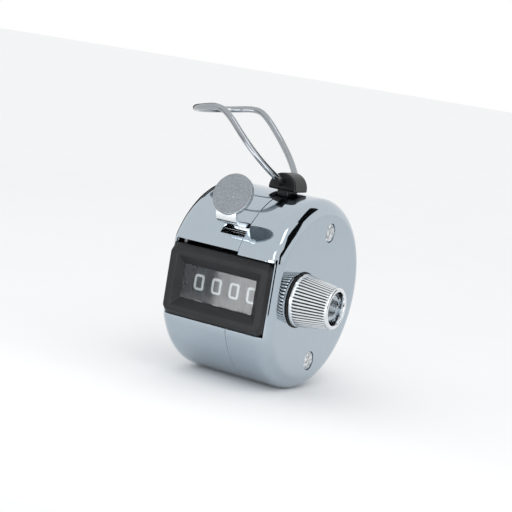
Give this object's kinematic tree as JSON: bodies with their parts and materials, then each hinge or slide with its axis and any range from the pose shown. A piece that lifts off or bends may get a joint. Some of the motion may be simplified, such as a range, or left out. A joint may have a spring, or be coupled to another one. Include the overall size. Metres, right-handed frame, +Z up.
{
  "type": "hand tally counter",
  "caption": "Hand-held mechanical counter: round plated drum case, number wheels behind a framed window, thumb lever, side reset knob and a swinging wire finger ring.",
  "frame": {"origin": "centre of the drum's flat left end face, on the drum's axis", "axes": "+X along the drum's axis towards the reset knob, -Y out of the window, +Z up towards the finger ring"},
  "size_m": [0.0477, 0.0464, 0.0626],
  "materials": {
    "chrome_case": "bright nickel-chrome plated pressed steel",
    "chrome_lever": "plated strip steel, stippled on the thumb pad",
    "chrome_knob": "plated, straight knurled",
    "ring_wire": "polished plated wire",
    "frame_plastic": "fine textured satin black moulding",
    "clip_plastic": "satin black moulding",
    "lens_clear": "clear moulded acrylic",
    "wheel_plastic": "satin black moulding with white printed digits",
    "plate_steel": "zinc plated sheet",
    "shaft_steel": "drawn bright bar",
    "rivet_steel": "plated, matt upset heads",
    "spring_steel": "bright spring wire and strip",
    "washer_fibre": "black hard fibre"
  },
  "bodies": {
    "case": {"left_shell": "chrome_case", "right_shell": "chrome_case", "window_frame": "frame_plastic", "window_lens": "lens_clear", "left_frame_plate": "plate_steel", "right_frame_plate": "plate_steel", "frame_pillars": "shaft_steel", "case_rivets": "rivet_steel", "lever_pivot_rod": "shaft_steel", "detent_rod": "shaft_steel", "detent_spring": "spring_steel", "wheel_spacer": "wheel_plastic", "knob_washer": "washer_fibre", "ring_clip": "clip_plastic", "lever_spring": "spring_steel"},
    "lever": {"thumb_lever": "chrome_lever", "pawl_pin": "shaft_steel"},
    "pawl": {"drive_pawl": "plate_steel", "pawl_spring": "spring_steel"},
    "reset_shaft": {"wheel_shaft": "shaft_steel", "shaft_clip": "spring_steel", "reset_knob": "chrome_knob"},
    "ring": {"finger_ring": "ring_wire"},
    "wheel_thousands": {"number_wheel_thousands": "wheel_plastic", "ratchet_thousands": "plate_steel", "reset_catch_thousands": "spring_steel"},
    "wheel_hundreds": {"number_wheel_hundreds": "wheel_plastic", "ratchet_hundreds": "plate_steel", "reset_catch_hundreds": "spring_steel"},
    "wheel_tens": {"number_wheel_tens": "wheel_plastic", "ratchet_tens": "plate_steel", "reset_catch_tens": "spring_steel"},
    "wheel_units": {"number_wheel_units": "wheel_plastic", "ratchet_units": "plate_steel", "reset_catch_units": "spring_steel"}
  },
  "joints": [
    {"name": "lever_press", "type": "hinge", "parent": "case", "child": "lever", "pos_m": [0.0154, -0.013, 0.0134], "axis": [1, 0, 0], "range_deg": [0, 15], "stiffness_Nm_per_rad": 0.05, "springref_deg": -20.05, "deforming": ["lever_spring"]},
    {"name": "pawl_swing", "type": "hinge", "parent": "lever", "child": "pawl", "pos_m": [0.0154, -0.0027, 0.0115], "axis": [1, 0, 0], "range_deg": [-15, 0]},
    {"name": "reset_turn", "type": "hinge", "parent": "case", "child": "reset_shaft", "pos_m": [0, -0.0075, -0.00035], "axis": [1, 0, 0], "continuous": true},
    {"name": "ring_swing", "type": "hinge", "parent": "case", "child": "ring", "pos_m": [0.0183, -0.00225, 0.0248], "axis": [0, 1, 0], "range_deg": [-38, 130]},
    {"name": "count_thousands", "type": "hinge", "parent": "reset_shaft", "child": "wheel_thousands", "pos_m": [0, -0.0075, -0.00035], "axis": [1, 0, 0], "continuous": true},
    {"name": "count_hundreds", "type": "hinge", "parent": "reset_shaft", "child": "wheel_hundreds", "pos_m": [0, -0.0075, -0.00035], "axis": [1, 0, 0], "continuous": true},
    {"name": "count_tens", "type": "hinge", "parent": "reset_shaft", "child": "wheel_tens", "pos_m": [0, -0.0075, -0.00035], "axis": [1, 0, 0], "continuous": true},
    {"name": "count_units", "type": "hinge", "parent": "reset_shaft", "child": "wheel_units", "pos_m": [0, -0.0075, -0.00035], "axis": [1, 0, 0], "continuous": true}
  ],
  "couplings": [
    {"joint": "pawl_swing", "follows": "lever_press", "ratio": -1}
  ]
}
